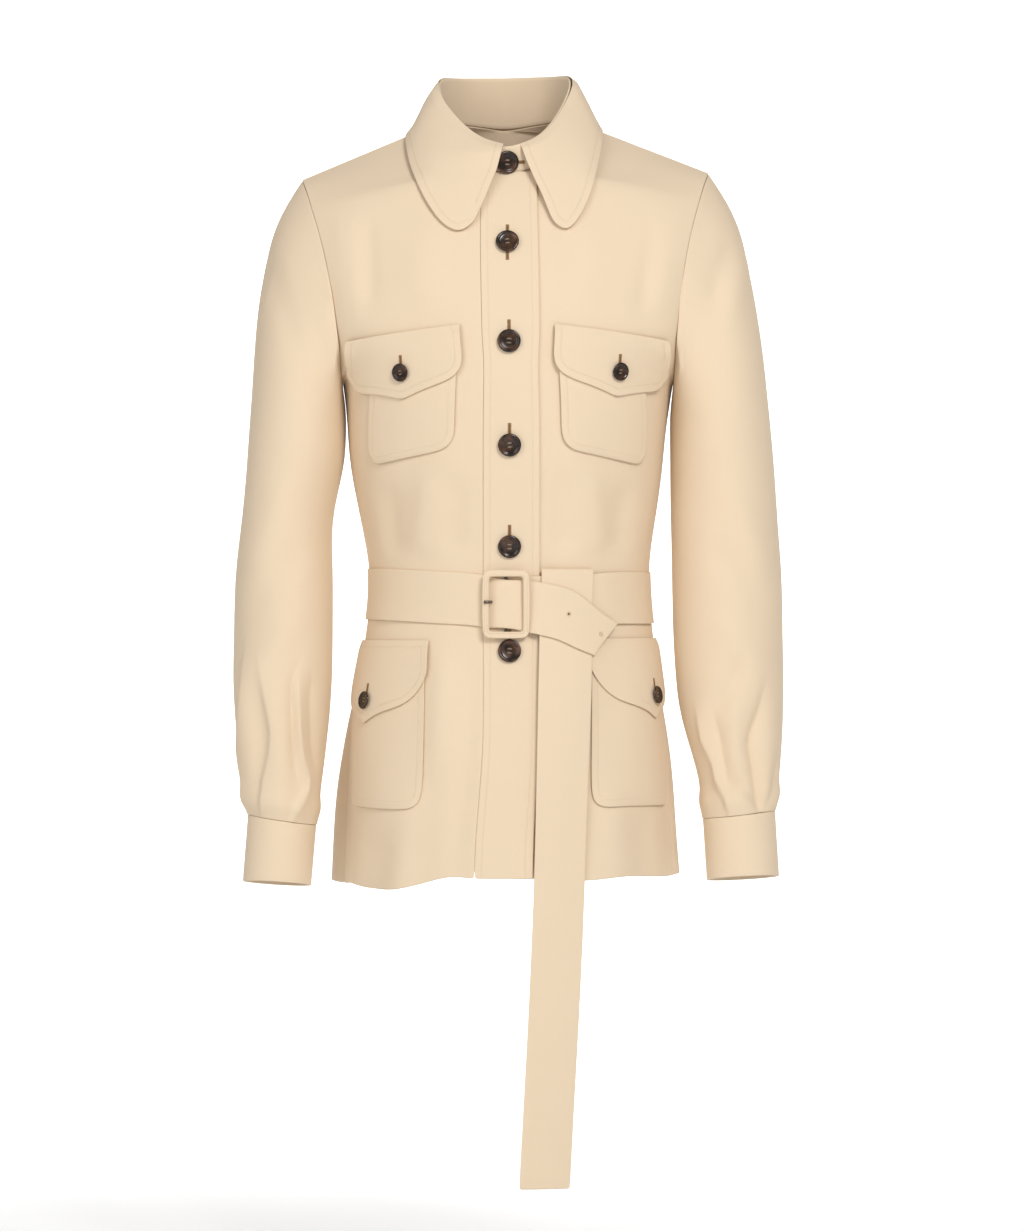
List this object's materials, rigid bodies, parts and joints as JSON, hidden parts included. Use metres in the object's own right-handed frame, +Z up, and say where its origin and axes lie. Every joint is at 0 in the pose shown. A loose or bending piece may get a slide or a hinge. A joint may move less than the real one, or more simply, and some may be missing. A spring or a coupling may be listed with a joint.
{
  "type": "belted safari jacket",
  "caption": "Long-sleeved safari jacket in worn, hollow shape, with a turned-down collar, button placket, flapped patch pockets, cuffs and a buckled cloth belt with a long hanging end.",
  "frame": {"origin": "midway between the two neck ends of the shoulder seams, where the wearer's shoulders carry the jacket", "axes": "+Z up, front towards -Y, wearer's left towards +X"},
  "size_m": [0.5247, 0.2433, 1.05],
  "materials": {
    "cloth": "smooth matt wool cloth, pale warm beige",
    "horn": "polished dark brown mottled horn",
    "metal": "dark bronzed metal"
  },
  "bodies": {
    "root": {"front_right": "cloth", "front_left": "cloth", "back": "cloth", "placket": "cloth", "sleeve_right": "cloth", "sleeve_left": "cloth", "cuff_right": "cloth", "cuff_left": "cloth", "collar_stand": "cloth", "collar_leaf": "cloth", "chest_pocket_right": "cloth", "chest_pocket_left": "cloth", "chest_flap_right": "cloth", "chest_flap_left": "cloth", "lower_pocket_right": "cloth", "lower_pocket_left": "cloth", "lower_flap_right": "cloth", "lower_flap_left": "cloth", "belt": "cloth", "belt_drop": "cloth", "buckle_frame": "cloth", "buckle_bar": "metal", "prong": "metal", "front_button_1": "horn", "front_button_2": "horn", "front_button_3": "horn", "front_button_4": "horn", "front_button_5": "horn", "front_button_6": "horn", "chest_button_right": "horn", "chest_button_left": "horn", "lower_button_right": "horn", "lower_button_left": "horn"}
  },
  "joints": []
}
